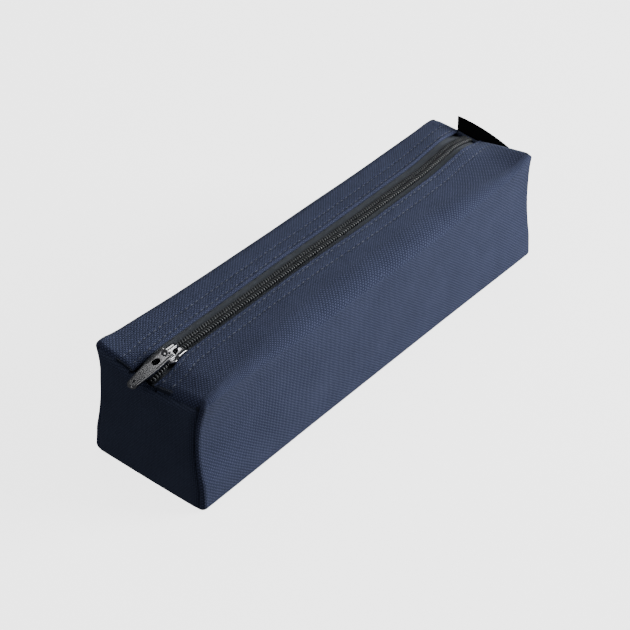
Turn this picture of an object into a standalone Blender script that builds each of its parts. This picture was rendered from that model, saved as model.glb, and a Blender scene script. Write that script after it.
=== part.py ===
"""A zipped pencil case: a long square pouch of woven cloth that stands on its flat bottom.

Frame: origin at the middle of the bottom, +X along the case away from the slider, +Z up. Metres.
The wrap panel is the bottom and both side walls. The two lips are its upper edges: each hinges on
the long fold at the top of its side wall, and carries one half of the zip. Short stretches of the
lips next to the end panels stay still, because the end seams pin them.
"""
import math

import bmesh
import bpy
from mathutils import Matrix, Vector

# Driving dimensions.
CASE_LENGTH = 0.200
CASE_WIDTH = 0.050
FOLD_HEIGHT = 0.0468
BOTTOM_FLARE = 0.0015
CLOTH = 0.0010
GAP = 0.0003

# The pouch.
BOTTOM_RADIUS = 0.0030
WALL_FOLD_STEPS = 4
RING_FOLD_STEPS = 3
FOLD_RADIUS = 0.0025
SEAM_GAP = 0.0008
END_PANEL_X = CASE_LENGTH / 2 - CLOTH / 2
WRAP_END_X = CASE_LENGTH / 2 - CLOTH - SEAM_GAP
WALL_TOP = 0.0427
LIP_FOOT = WALL_TOP + 0.0009
LIP_LENGTH = 0.1634
LIP_STEP = 0.027
MOUTH_HALF = 0.0049
CROWN_POWER = 1.3
END_DIP = 0.0008

# The zip lies a little off the middle and rises gently from the near end to the far end.
ZIP_NEAR = Vector((-0.098, 0.0009, 0.0450))
ZIP_FAR = Vector((0.098, 0.0027, 0.0472))
LIP_ABOVE_CHAIN = 0.0010

# Zip sizes, about the chain's centre line.
COIL_RADIUS = 0.0010
COIL_CLOSED = 0.00115
COIL_PARTED = 0.00245
TAPE_HALF = 0.0120
TAPE_THICKNESS = 0.0006
TAPE_UNDER_COIL = 0.0006
TAPE_Z = -0.0016

# Slider and puller, along the chain from the middle of the zip and up from its centre line.
SLIDER_REAR = -0.0811
SLIDER_FRONT = -0.0909
SLIDER_WAIST = -0.0845
SLIDER_SHOULDER = -0.0885
REAR_HALF = 0.0030
SHOULDER_HALF = 0.0043
NOSE_HALF = 0.0027
NOSE_SLANT = 0.0012
OVERRUN = 0.0020
FLANGE = 0.00065
TOP_PLATE = (0.0014, 0.0021)
TAPE_SLOT = (-0.0022, -0.0010)
BOTTOM_PLATE_LOW = -0.0030
POST_X = -0.0888
POST_HALF = 0.0011
POST_STRETCH = 1.4
PULLER_AXIS_X = -0.0875
PULLER_AXIS_Z = 0.0030
PULLER_DROOP = math.radians(6.5)
PULLER_LENGTH = 0.0188
PULLER_HALF = 0.00295
PULLER_TIP_HALF = 0.00165
PULLER_THICKNESS = 0.0010
PULLER_HEEL = 0.0005
PULLER_CORNER = 0.0006
PULLER_SHOULDER = 0.0085
PULLER_SLOT_HALF = 0.0016
PULLER_SLOT_END = 0.0070
CROSSBAR_RADIUS = 0.00065
CROWN_HALF = 0.0012
CROWN_ENDS = (-0.0831, -0.0899)
CROWN_CORNER = 0.0012
CROWN_EDGE = 0.0002
CROWN_TOP = 0.0048
CROWN_WINDOW = (-0.0858, -0.0892)
CROWN_WINDOW_TOP = 0.0039

# Ribbon tab at the far end.
TAB_THICKNESS = 0.0012
TAB_FOOT = Vector((CASE_LENGTH / 2 + GAP + TAB_THICKNESS, 0.0005, 0.0436))
TAB_HALF = 0.0120
TAB_HEIGHT_BACK = 0.0074
TAB_HEIGHT_FRONT = 0.0020
TAB_LEAN = math.radians(4)

# Threads and the tape that binds the end seams inside.
THREAD_RADIUS = 0.00025
SEAM_THREAD_RADIUS = 0.00013
SEAM_SHARE = 0.98
INNER_STITCH = 0.0018
OUTER_STITCH = 0.0065
BINDING_THICKNESS = 0.0012
BINDING_LENGTH = 0.0080
BINDING_TOP = 0.0396

CASE = None
CUTTERS = None


def clear_scene():
    for obj in list(bpy.data.objects):
        bpy.data.objects.remove(obj, do_unlink=True)


def collection(name):
    made = bpy.data.collections.new(name)
    bpy.context.scene.collection.children.link(made)
    return made


def material(name, colour, roughness, metallic=0.0):
    made = bpy.data.materials.new(name)
    made.use_nodes = True
    shader = made.node_tree.nodes["Principled BSDF"]
    shader.inputs["Base Color"].default_value = (*colour, 1.0)
    shader.inputs["Roughness"].default_value = roughness
    shader.inputs["Metallic"].default_value = metallic
    made.diffuse_color = (*colour, 1.0)
    return made


def place(name, mesh, finish, parent=None, into=None):
    """An object that holds the mesh, in the case's collection unless another is named."""
    obj = bpy.data.objects.new(name, mesh)
    (into or CASE).objects.link(obj)
    if finish:
        mesh.materials.clear()
        mesh.materials.append(finish)
    if parent:
        obj.parent = parent
    return obj


def hide_tool(obj):
    obj.hide_render = True
    obj.display_type = "WIRE"
    return obj


def curve_mesh(name, curve):
    """The closed mesh that a curve gives, with its caps welded on."""
    holder = bpy.data.objects.new(name, curve)
    bpy.context.scene.collection.objects.link(holder)
    evaluated = holder.evaluated_get(bpy.context.evaluated_depsgraph_get())
    mesh = bpy.data.meshes.new_from_object(evaluated)
    bpy.data.objects.remove(holder, do_unlink=True)
    bpy.data.curves.remove(curve)
    bm = bmesh.new()
    bm.from_mesh(mesh)
    bmesh.ops.remove_doubles(bm, verts=bm.verts, dist=1e-6)
    bmesh.ops.recalc_face_normals(bm, faces=bm.faces)
    bm.to_mesh(mesh)
    bm.free()
    mesh.name = name
    return mesh


def spline(curve, points, closed=False):
    line = curve.splines.new("POLY")
    line.points.add(len(points) - 1)
    for place_held, point in zip(line.points, points):
        place_held.co = (*point, 1.0)
    line.use_cyclic_u = closed


def flat_outline(name, outline, thickness, matrix=None):
    """A flat plate: the outline filled and given a thickness about its own plane."""
    curve = bpy.data.curves.new(name, "CURVE")
    curve.dimensions = "2D"
    curve.fill_mode = "BOTH"
    curve.extrude = thickness / 2
    spline(curve, [(x, y, 0.0) for x, y in outline], closed=True)
    mesh = curve_mesh(name, curve)
    if matrix:
        mesh.transform(matrix)
    return mesh


def tube(name, points, radius, closed=False):
    curve = bpy.data.curves.new(name, "CURVE")
    curve.dimensions = "3D"
    curve.bevel_depth = radius
    curve.bevel_resolution = 2
    curve.use_fill_caps = not closed
    spline(curve, points, closed)
    return curve_mesh(name, curve)


def arc(centre, radius, start, end, steps):
    """Points on an arc, with angles in degrees."""
    angles = [math.radians(start + (end - start) * i / steps) for i in range(steps + 1)]
    return [(centre[0] + radius * math.cos(a), centre[1] + radius * math.sin(a)) for a in angles]


def smooth(mesh, degrees=40):
    mesh.shade_smooth()
    mesh.set_sharp_from_angle(angle=math.radians(degrees))
    return mesh


def boolean(obj, tool, operation):
    cut = obj.modifiers.new(f"{operation.lower()}_{tool.name}", "BOOLEAN")
    cut.operation = operation
    cut.solver = "EXACT"
    cut.object = tool


def bevel(obj, width, segments=2, degrees=40):
    edge = obj.modifiers.new("soft_edges", "BEVEL")
    edge.width = width
    edge.segments = segments
    edge.limit_method = "ANGLE"
    edge.angle_limit = math.radians(degrees)


def solidify(obj, thickness):
    """Gives a surface its thickness inwards, behind its faces."""
    wall = obj.modifiers.new("cloth", "SOLIDIFY")
    wall.thickness = thickness
    wall.offset = -1.0


def chain_height(x):
    share = (x - ZIP_NEAR.x) / (ZIP_FAR.x - ZIP_NEAR.x)
    return ZIP_NEAR.z + share * (ZIP_FAR.z - ZIP_NEAR.z)


def chain_side(x):
    share = (x - ZIP_NEAR.x) / (ZIP_FAR.x - ZIP_NEAR.x)
    return ZIP_NEAR.y + share * (ZIP_FAR.y - ZIP_NEAR.y)


def lip_section(x, side):
    """The lip's outer line in (y, z) at x, round the long fold and down to the zip. Side is -1 or 1."""
    centre_y = CASE_WIDTH / 2 - FOLD_RADIUS
    fold = [(CASE_WIDTH / 2, LIP_FOOT)]
    fold += arc((centre_y, FOLD_HEIGHT - FOLD_RADIUS), FOLD_RADIUS, 0, 90, WALL_FOLD_STEPS)
    reach = centre_y - side * chain_side(x) - MOUTH_HALF
    rise = chain_height(x) + LIP_ABOVE_CHAIN - FOLD_HEIGHT
    steps = 6
    top = []
    for step in range(1, steps + 1):
        share = step / steps
        top.append((centre_y - reach * share, FOLD_HEIGHT + rise * share ** CROWN_POWER))
    return [(side * y, z) for y, z in fold + top]


def lip_strip(name, side, x_low, x_high, finish):
    """A stretch of lip between two places along the case."""
    steps = max(2, round((x_high - x_low) / LIP_STEP))
    bm = bmesh.new()
    rows = len(lip_section(x_low, side))
    bmesh.ops.create_grid(bm, x_segments=steps, y_segments=rows - 1, size=0.5)
    for vert in bm.verts:
        x = x_low + (vert.co.x + 0.5) * (x_high - x_low)
        index = round((vert.co.y + 0.5) * (rows - 1))
        y, z = lip_section(x, side)[index]
        vert.co = (x, y, z)
    face_up(bm)
    mesh = bpy.data.meshes.new(name)
    bm.to_mesh(mesh)
    bm.free()
    obj = place(name, smooth(mesh), finish)
    solidify(obj, CLOTH)
    return obj


def face_up(bm):
    bm.normal_update()
    if sum(face.normal.z * face.calc_area() for face in bm.faces) < 0:
        bmesh.ops.reverse_faces(bm, faces=bm.faces)
    bm.normal_update()


def bottom_line(inset, steps):
    """The section's lower part in (y, z): both rounded lower folds, this far inside the cloth's face."""
    radius = BOTTOM_RADIUS
    centre_y = CASE_WIDTH / 2 + BOTTOM_FLARE - inset - radius
    line = arc((-centre_y, inset + radius), radius, 180, 270, steps)
    line += arc((centre_y, inset + radius), radius, 270, 360, steps)
    return line


def cloth_band(name, section, x_start, length, thickness, finish, closed=False):
    """Cloth that follows a line in (y, z) and runs along the case. Its thickness lies inside the line."""
    bm = bmesh.new()
    verts = [bm.verts.new((x_start, y, z)) for y, z in section]
    following = verts[1:] + verts[:1] if closed else verts[1:]
    edges = [bm.edges.new(pair) for pair in zip(verts, following)]
    made = bmesh.ops.extrude_edge_only(bm, edges=edges)
    moved = [item for item in made["geom"] if isinstance(item, bmesh.types.BMVert)]
    bmesh.ops.translate(bm, verts=moved, vec=(length, 0, 0))
    bm.normal_update()
    bottom = min(bm.faces, key=lambda face: face.calc_center_median().z)
    if bottom.normal.z > 0:
        bmesh.ops.reverse_faces(bm, faces=bm.faces)
    mesh = bpy.data.meshes.new(name)
    bm.to_mesh(mesh)
    bm.free()
    obj = place(name, smooth(mesh), finish)
    solidify(obj, thickness)
    return obj


def wrap_panel(finish):
    """The bottom and both side walls, one piece of cloth with rounded lower folds."""
    half = CASE_WIDTH / 2
    section = [(-half, WALL_TOP)] + bottom_line(0.0, WALL_FOLD_STEPS) + [(half, WALL_TOP)]
    return cloth_band("wrap_panel", section, -WRAP_END_X, 2 * WRAP_END_X, CLOTH, finish)


def end_outline(x):
    """The end panel's outline in (y, z): rounded lower corners, and a top edge that dips to the zip."""
    outline = bottom_line(0.0, WALL_FOLD_STEPS) + lip_section(x, 1)
    outline += [(chain_side(x), chain_height(x) + LIP_ABOVE_CHAIN - END_DIP)]
    outline += list(reversed(lip_section(x, -1)))
    return outline


def end_panel(name, x, finish):
    """A square end panel, upright across the case."""
    upright = Matrix(((0, 0, 1, x), (1, 0, 0, 0), (0, 1, 0, 0), (0, 0, 0, 1)))
    mesh = flat_outline(name, end_outline(x), CLOTH, upright)
    return place(name, mesh, finish)


def ring_outline(inset, top):
    """A closed line in (y, z) inside the case: the lower folds, and rounded upper corners at this height."""
    half = CASE_WIDTH / 2 - inset
    radius = BOTTOM_RADIUS
    outline = bottom_line(inset, RING_FOLD_STEPS)
    outline += arc((half - radius, top - radius), radius, 0, 90, RING_FOLD_STEPS)
    outline += arc((-half + radius, top - radius), radius, 90, 180, RING_FOLD_STEPS)
    return outline


def seam_binding(name, side, finish):
    """A bias tape sewn round the end seam inside the case, as one closed band."""
    outer = ring_outline(CLOTH + GAP, BINDING_TOP)
    x_out = side * (WRAP_END_X - GAP)
    return cloth_band(name, outer, x_out, -side * BINDING_LENGTH, BINDING_THICKNESS, finish, closed=True)


def seam_thread(name, side, finish):
    """The thread that sews an end panel on: a closed loop in the groove round the panel."""
    x = side * (CASE_LENGTH / 2 - CLOTH - SEAM_GAP / 2)
    middle = FOLD_HEIGHT / 2
    points = [(x, y * SEAM_SHARE, middle + (z - middle) * SEAM_SHARE) for y, z in end_outline(x)]
    return place(name, smooth(tube(name, points, SEAM_THREAD_RADIUS, closed=True)), finish)


def topstitch(name, side, offset, finish):
    """A row of stitches along a lip, at this distance from the lip's edge on the zip."""
    points = []
    steps = 12
    for step in range(steps + 1):
        x = -WRAP_END_X + 2 * WRAP_END_X * step / steps
        points.append(lip_point(x, side, offset))
    return place(name, smooth(tube(name, points, THREAD_RADIUS)), finish)


def lip_point(x, side, offset):
    """A point just above the lip, at this distance from its edge."""
    start_y = side * (CASE_WIDTH / 2 - FOLD_RADIUS)
    edge_y = chain_side(x) + side * MOUTH_HALF
    edge_z = chain_height(x) + LIP_ABOVE_CHAIN
    share = 1 - offset / abs(start_y - edge_y)
    z = FOLD_HEIGHT + (edge_z - FOLD_HEIGHT) * share ** CROWN_POWER
    return (x, edge_y + side * offset, z + THREAD_RADIUS + GAP)


def zip_frame():
    """An empty on the chain's centre line over the middle of the case, with +X along the chain."""
    frame = bpy.data.objects.new("zip_frame", None)
    CASE.objects.link(frame)
    along = (ZIP_FAR - ZIP_NEAR).normalized()
    across = Vector((0, 0, 1)).cross(along).normalized()
    up = along.cross(across)
    middle = ZIP_NEAR + (ZIP_FAR - ZIP_NEAR) * (-ZIP_NEAR.x / (ZIP_FAR.x - ZIP_NEAR.x))
    turned = Matrix((along, across, up)).transposed().to_4x4()
    frame.matrix_world = Matrix.Translation(middle) @ turned
    return frame


def row_path(centre_closed, centre_parted):
    """One coil row's line from the near end to the far end: parted ahead of the slider, closed behind it."""
    points = [(ZIP_NEAR.x, centre_parted)]
    steps = 6
    for step in range(steps + 1):
        share = step / steps
        ease = share * share * (3 - 2 * share)
        x = SLIDER_SHOULDER + (SLIDER_WAIST - SLIDER_SHOULDER) * share
        points.append((x, centre_parted + (centre_closed - centre_parted) * ease))
    points += [(0.0, centre_closed), (ZIP_FAR.x, centre_closed)]
    return points


def zip_coil(name, side, parent, finish):
    points = [(x, side * y, 0.0) for x, y in row_path(COIL_CLOSED, COIL_PARTED)]
    return place(name, smooth(tube(name, points, COIL_RADIUS)), finish, parent)


def zip_tape(name, side, parent, finish):
    inner = row_path(COIL_CLOSED - TAPE_UNDER_COIL, COIL_PARTED - TAPE_UNDER_COIL)
    outline = [(x, side * y) for x, y in inner]
    outline += [(ZIP_FAR.x, side * TAPE_HALF), (ZIP_NEAR.x, side * TAPE_HALF)]
    mesh = flat_outline(name, outline, TAPE_THICKNESS, Matrix.Translation((0, 0, TAPE_Z)))
    return place(name, mesh, finish, parent)


def mirrored_outline(half_outline):
    """A closed outline from its half at positive y."""
    return half_outline + [(x, -y) for x, y in reversed(half_outline)]


def prism(name, outline, low, high):
    """A plate with this outline between two heights."""
    return flat_outline(name, outline, high - low, Matrix.Translation((0, 0, (low + high) / 2)))


def slider_body(parent, finish):
    """Two plates joined by a post at the front, with flanges at the sides that keep the coils together."""
    outer = [(SLIDER_REAR, REAR_HALF), (SLIDER_WAIST, REAR_HALF), (SLIDER_SHOULDER, SHOULDER_HALF),
             (SLIDER_FRONT + NOSE_SLANT, SHOULDER_HALF), (SLIDER_FRONT, NOSE_HALF)]
    inner = [(SLIDER_REAR + OVERRUN, REAR_HALF - FLANGE), (SLIDER_WAIST, REAR_HALF - FLANGE),
             (SLIDER_SHOULDER, SHOULDER_HALF - FLANGE), (SLIDER_FRONT - OVERRUN, SHOULDER_HALF - FLANGE)]
    low, high = BOTTOM_PLATE_LOW, TOP_PLATE[1]
    obj = place("slider_body", prism("slider_body", mirrored_outline(outer), low, high), finish, parent)
    channel = prism("coil_channel", mirrored_outline(inner), sum(TAPE_SLOT) / 2, TOP_PLATE[0])
    slot_half = SHOULDER_HALF + OVERRUN
    slot_outline = [(SLIDER_REAR + 1.5 * OVERRUN, slot_half), (SLIDER_FRONT - 1.5 * OVERRUN, slot_half)]
    slot = prism("tape_slot", mirrored_outline(slot_outline), *TAPE_SLOT)
    post_points = arc((0, 0), POST_HALF, 0, 315, 7)
    post_outline = [(POST_X + POST_STRETCH * x, y) for x, y in post_points]
    post = prism("slider_post", post_outline, TAPE_SLOT[0] - GAP, TOP_PLATE[0] + GAP)
    for tool_mesh, operation in ((channel, "DIFFERENCE"), (slot, "DIFFERENCE"), (post, "UNION")):
        tool = hide_tool(place(tool_mesh.name, tool_mesh, None, parent, CUTTERS))
        boolean(obj, tool, operation)
    return obj


def slider_crown(parent, finish):
    """The cap over the slider that the puller hangs from: an arch with a window for the crossbar."""
    foot = TOP_PLATE[1] + GAP
    rear, front = CROWN_ENDS
    window_rear, window_front = CROWN_WINDOW
    corner = CROWN_CORNER
    outline = [(rear, foot)]
    outline += arc((rear - corner, CROWN_TOP - corner), corner, 0, 90, 4)
    outline += arc((front + corner, CROWN_TOP - corner), corner, 90, 180, 4)
    outline += [(front, foot), (window_front, foot), (window_front, CROWN_WINDOW_TOP)]
    outline += [(window_rear, CROWN_WINDOW_TOP), (window_rear, foot)]
    upright = Matrix(((1, 0, 0, 0), (0, 0, -1, 0), (0, 1, 0, 0), (0, 0, 0, 1)))
    mesh = flat_outline("slider_crown", outline, 2 * CROWN_HALF, upright)
    obj = place("slider_crown", smooth(mesh), finish, parent)
    bevel(obj, CROWN_EDGE)
    return obj


def puller(parent, finish):
    """A tapered pull tag, forked round the crown, on a round crossbar. Its origin is the crossbar's axis."""
    tip = PULLER_LENGTH
    corner = PULLER_CORNER
    half = [(-PULLER_HEEL, PULLER_HALF - corner / 2), (corner / 2 - PULLER_HEEL, PULLER_HALF),
            (PULLER_SHOULDER, PULLER_HALF), (tip - corner, PULLER_TIP_HALF),
            (tip, PULLER_TIP_HALF - corner)]
    plate = flat_outline("puller", [(-x, y) for x, y in mirrored_outline(half)], PULLER_THICKNESS)
    obj = place("puller", plate, finish, parent)
    slot_half = PULLER_SLOT_HALF
    round_end = arc((PULLER_SLOT_END - slot_half, 0), slot_half, 85, 5, 4)
    slot = [(-3 * PULLER_HEEL, slot_half)] + round_end
    slot = [(-x, y) for x, y in mirrored_outline(slot)]
    slot_tool = prism("puller_slot", slot, -PULLER_THICKNESS, PULLER_THICKNESS)
    arm_middle = (PULLER_SLOT_HALF + PULLER_HALF) / 2
    crossbar = tube("crossbar", [(0, -arm_middle, 0), (0, arm_middle, 0)], CROSSBAR_RADIUS)
    for tool_mesh, operation in ((slot_tool, "DIFFERENCE"), (crossbar, "UNION")):
        tool = hide_tool(place(tool_mesh.name, tool_mesh, None, obj, CUTTERS))
        boolean(obj, tool, operation)
    obj.location = (PULLER_AXIS_X, 0, PULLER_AXIS_Z)
    obj.rotation_euler = (0, -PULLER_DROOP, 0)
    return obj


def ribbon_tab(finish):
    """A folded ribbon sewn askew into the far end's top seam, so that its fold slopes down to the front."""
    bm = bmesh.new()
    bmesh.ops.create_grid(bm, x_segments=8, y_segments=3, size=0.5)
    for vert in bm.verts:
        across = 2 * vert.co.x
        height = TAB_HEIGHT_FRONT + (TAB_HEIGHT_BACK - TAB_HEIGHT_FRONT) * (1 + across) / 2
        rise = height * (vert.co.y + 0.5)
        vert.co = (rise * math.sin(TAB_LEAN), TAB_HALF * across, rise * math.cos(TAB_LEAN))
    bm.normal_update()
    if sum(face.normal.x for face in bm.faces) < 0:
        bmesh.ops.reverse_faces(bm, faces=bm.faces)
    mesh = bpy.data.meshes.new("ribbon_tab")
    bm.to_mesh(mesh)
    bm.free()
    obj = place("ribbon_tab", smooth(mesh), finish)
    obj.location = TAB_FOOT
    solidify(obj, TAB_THICKNESS)
    return obj


def build():
    global CASE, CUTTERS
    clear_scene()
    CASE = collection("pencil_case")
    CUTTERS = collection("cutters")
    cloth = material("navy_cloth", (0.045, 0.058, 0.098), 0.85)
    end_cloth = material("navy_end_cloth", (0.030, 0.038, 0.062), 0.85)
    tape = material("zip_tape_weave", (0.025, 0.029, 0.030), 0.8)
    coil = material("zip_coil_nylon", (0.015, 0.016, 0.018), 0.35)
    metal = material("black_nickel", (0.10, 0.10, 0.11), 0.18, 1.0)
    ribbon = material("black_ribbon", (0.008, 0.008, 0.009), 0.7)
    thread = material("navy_thread", (0.06, 0.07, 0.11), 0.6)
    binding = material("binding_tape", (0.02, 0.024, 0.036), 0.8)

    wrap_panel(cloth)
    lip_end = LIP_LENGTH / 2
    for side_name, side in (("front", -1), ("back", 1)):
        lip_strip(f"{side_name}_lip", side, -lip_end, lip_end, cloth)
        lip_strip(f"{side_name}_top_near", side, -WRAP_END_X, -lip_end - GAP, cloth)
        lip_strip(f"{side_name}_top_far", side, lip_end + GAP, WRAP_END_X, cloth)
        topstitch(f"{side_name}_edge_topstitch", side, INNER_STITCH, thread)
        topstitch(f"{side_name}_outer_topstitch", side, OUTER_STITCH, thread)
    for end_name, side in (("near", -1), ("far", 1)):
        end_panel(f"{end_name}_end_panel", side * END_PANEL_X, end_cloth)
        seam_thread(f"{end_name}_seam_thread", side, thread)
        seam_binding(f"{end_name}_seam_binding", side, binding)
    ribbon_tab(ribbon)

    frame = zip_frame()
    for side_name, side in (("front", -1), ("back", 1)):
        zip_coil(f"{side_name}_zip_coil", side, frame, coil)
        zip_tape(f"{side_name}_zip_tape", side, frame, tape)
    slider_body(frame, metal)
    slider_crown(frame, metal)
    puller(frame, metal)


build()
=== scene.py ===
"""The looks of the zipped pencil case, round its CAD frame: cloth, zip, slider, puller, tab and stitching.

Everything is in the case's own frame, in metres: X along the case, -X the end with the slider, Z up,
and the case stands on Z = 0. Cloth pieces are laid out by cloth_point(), one surface that runs from
the zip over the top, down the side and under the bottom, so that neighbouring pieces join exactly.
"""
import math

import bpy
from mathutils import Matrix, Vector, noise


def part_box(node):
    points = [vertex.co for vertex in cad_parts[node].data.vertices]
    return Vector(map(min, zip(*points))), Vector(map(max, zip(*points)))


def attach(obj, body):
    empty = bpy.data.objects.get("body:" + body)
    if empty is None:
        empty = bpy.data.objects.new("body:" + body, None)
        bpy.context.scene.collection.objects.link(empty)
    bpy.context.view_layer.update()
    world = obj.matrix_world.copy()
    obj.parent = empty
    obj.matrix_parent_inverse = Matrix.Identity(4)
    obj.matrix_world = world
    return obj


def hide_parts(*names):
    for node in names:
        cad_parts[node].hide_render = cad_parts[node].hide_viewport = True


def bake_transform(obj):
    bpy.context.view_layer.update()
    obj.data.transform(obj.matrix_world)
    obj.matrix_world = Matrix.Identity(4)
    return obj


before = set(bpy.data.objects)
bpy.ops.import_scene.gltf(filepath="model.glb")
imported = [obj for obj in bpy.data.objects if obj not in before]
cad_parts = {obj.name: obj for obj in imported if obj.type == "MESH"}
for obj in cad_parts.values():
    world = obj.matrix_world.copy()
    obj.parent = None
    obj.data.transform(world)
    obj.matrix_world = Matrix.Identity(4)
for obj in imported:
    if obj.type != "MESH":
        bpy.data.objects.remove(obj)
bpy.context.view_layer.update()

MM = 0.001

# The case, from the frame.
HALF_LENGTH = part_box("far_end_panel")[1].x
HALF_WIDTH = -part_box("front_lip")[0].y
FOLD_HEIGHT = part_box("front_top_near")[1].z
CLOTH = 0.8 * MM

# The zip's centre line.
ZIP_NEAR = Vector((-98 * MM, 0.9 * MM, 45.0 * MM))
ZIP_FAR = Vector((98 * MM, 2.7 * MM, 47.2 * MM))
LIP_ABOVE_CHAIN = 1.0 * MM

# The hem along each side of the zip: cloth turned under and sewn down twice.
HEM_ROLL = 0.80 * MM
HEM_UNDER = 7.5 * MM
STITCH_ROWS = (1.8 * MM, 6.5 * MM)
STITCH_SINK = 0.28 * MM
CROWN_POWER = 1.3

# The chain's place beside its straight line, and its bends: where each starts and ends along the case
# and how far it goes sideways. In mm.
ZIP_ASIDE = 1.0
ZIP_BENDS = ((15, -20, 0.5), (-82, -96, -1.1), (58, 94, 2.2))

# From the chain's middle to the hem, in mm: at the back, at the front before and after its ramp,
# and what the front hem stands aside for the parked slider.
BACK_MOUTH = 5.4
FRONT_MOUTH = (3.9, 4.9)
FRONT_MOUTH_RAMP = (-20, 30)
PARKED_EXTRA = 1.1
PARKED_X = -90 * MM

# The long folds' width and height in mm: at the case's ends, and over its middle at the front and the back.
FOLD_WIDTHS = (2.6, 10, 4.5)
FOLD_FALLS = (2.2, 4.4, 3.4)
# The lower folds' radius in mm, at the ends and over the middle.
FOOT_RADII = (2.6, 3.2)

# The end seams' top lines in mm: where the lowest place is and its height, then the rise, its width and its
# power, first towards the back and then towards the front.
NEAR_SEAM = (-4.0, 43.6, (4.6, 28, 1.1), (2.4, 20, 1.0))
FAR_SEAM = (2.5, 45.2, (2.2, 22, 0.7), (4.4, 28, 0.85))

# How the settled cloth stands off the plain pouch, in mm.
NEAR_LEAN = (1.1, 2.4)
FAR_LEAN = 1.0
LEAN_HEIGHT = 44
WAIST_HEIGHT = 28
WAIST_SPAN = 17
NEAR_DRAWN_IN = 1.7
FAR_DRAWN_IN = 1.3
NEAR_SHOULDER = (0.6, 1.2)
FOOT_FLARE = 2.0
BELLY = 0.5
UNEVENNESS = 0.45
CORNER_INSET = (0.9, 0.5, 0.4)
FAR_CORNER_SHARE = 0.4

# End seams.
ROLL_START = 95 * MM
SEAM_DIVE = 1.0 * MM


def clamp(value, low=0.0, high=1.0):
    return max(low, min(high, value))


def ease(value):
    value = clamp(value)
    return value * value * (3 - 2 * value)


def mix(a, b, share):
    return a + (b - a) * share


def ramp(length, start, finish):
    """Smoothly from 0 at start to 1 at finish, both in mm."""
    return ease((length / MM - start) / (finish - start))


# Working by hand: selecting, finishing and shaping pieces.

def only(obj):
    """Selects one object and makes it the active one."""
    bpy.ops.object.select_all(action="DESELECT")
    obj.select_set(True)
    bpy.context.view_layer.objects.active = obj
    return obj


def settle_transform(obj):
    only(obj)
    bpy.ops.object.transform_apply(location=True, rotation=True, scale=True)
    return obj


def apply_modifier(obj, kind, **settings):
    only(obj)
    modifier = obj.modifiers.new(kind.lower(), kind)
    for name, value in settings.items():
        setattr(modifier, name, value)
    bpy.ops.object.modifier_apply(modifier=modifier.name)
    return obj


def shade(obj, degrees=40):
    only(obj)
    bpy.ops.object.shade_smooth_by_angle(angle=math.radians(degrees))
    return obj


def finish_piece(obj, body, material, replaces=()):
    """Gives the piece its body and, if it has none yet, its material, and hides the parts that it replaces."""
    if not obj.data.materials:
        obj.data.materials.append(material)
    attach(obj, body)
    if replaces:
        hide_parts(*replaces)
    return obj


def edit_all(obj, *steps):
    """Runs editing steps on the whole mesh in edit mode."""
    only(obj)
    bpy.ops.object.mode_set(mode="EDIT")
    bpy.ops.mesh.select_all(action="SELECT")
    for step in steps:
        step()
    bpy.ops.object.mode_set(mode="OBJECT")


def add_piece(name, add, **settings):
    """A new piece from one of Blender's own shapes."""
    bpy.ops.object.select_all(action="DESELECT")
    add(**settings)
    obj = bpy.context.object
    obj.name = name
    return obj


def join_to(obj, parts):
    only(obj)
    for part in parts:
        part.select_set(True)
    bpy.ops.object.join()
    return obj


def repeat_along(obj, count, pitch):
    """Copies of the piece in a row along the case."""
    return apply_modifier(obj, "ARRAY", count=count, use_relative_offset=False, use_constant_offset=True,
                          constant_offset_displace=(pitch, 0, 0))


# The shape of the pouch.

def zip_side(x):
    """The chain's middle, which wanders a little from the straight line that the slider runs on."""
    straight = mix(ZIP_NEAR.y, ZIP_FAR.y, (x - ZIP_NEAR.x) / (ZIP_FAR.x - ZIP_NEAR.x))
    return straight + (ZIP_ASIDE + sum(far * ramp(x, start, finish) for start, finish, far in ZIP_BENDS)) * MM


def mouth_half(x, side):
    """From the chain's middle to the hem, which stands aside for the parked slider."""
    if side > 0:
        return BACK_MOUTH * MM
    parked = PARKED_EXTRA * ramp(abs(x - PARKED_X), 10, 0)
    return (mix(*FRONT_MOUTH, ramp(x, *FRONT_MOUTH_RAMP)) + parked) * MM


def zip_height(x):
    return mix(ZIP_NEAR.z, ZIP_FAR.z, (x - ZIP_NEAR.x) / (ZIP_FAR.x - ZIP_NEAR.x))


def middle_share(x):
    """1 over the middle of the case and 0 at its ends."""
    return ease((HALF_LENGTH - abs(x)) / (70 * MM))


def by_fold(sizes, x, side):
    ends, front, back = sizes
    return mix(ends, front if side < 0 else back, middle_share(x)) * MM


def fold_width(x, side):
    """How far from the wall the top starts to turn down."""
    return by_fold(FOLD_WIDTHS, x, side)


def bottom_radius(x):
    return mix(*FOOT_RADII, middle_share(x)) * MM


def edge_height(x):
    return zip_height(x) + LIP_ABOVE_CHAIN


def top_height(x, y):
    """The height of the top before the end seams pull it down."""
    side = 1 if y > zip_side(x) else -1
    edge = zip_side(x) + side * mouth_half(x, side)
    crest = side * (HALF_WIDTH - fold_width(x, side))
    share = clamp((crest - y) / (crest - edge))
    return FOLD_HEIGHT + (edge_height(x) - FOLD_HEIGHT) * share ** CROWN_POWER


def seam_height(seam, y):
    """An end seam's top line: lowest near the zip, and higher at both corners."""
    lowest_y, lowest_z, back, front = seam
    off = y - lowest_y * MM
    rise, width, power = back if off > 0 else front
    return (lowest_z + rise * (abs(off) / (width * MM)) ** power) * MM


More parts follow.
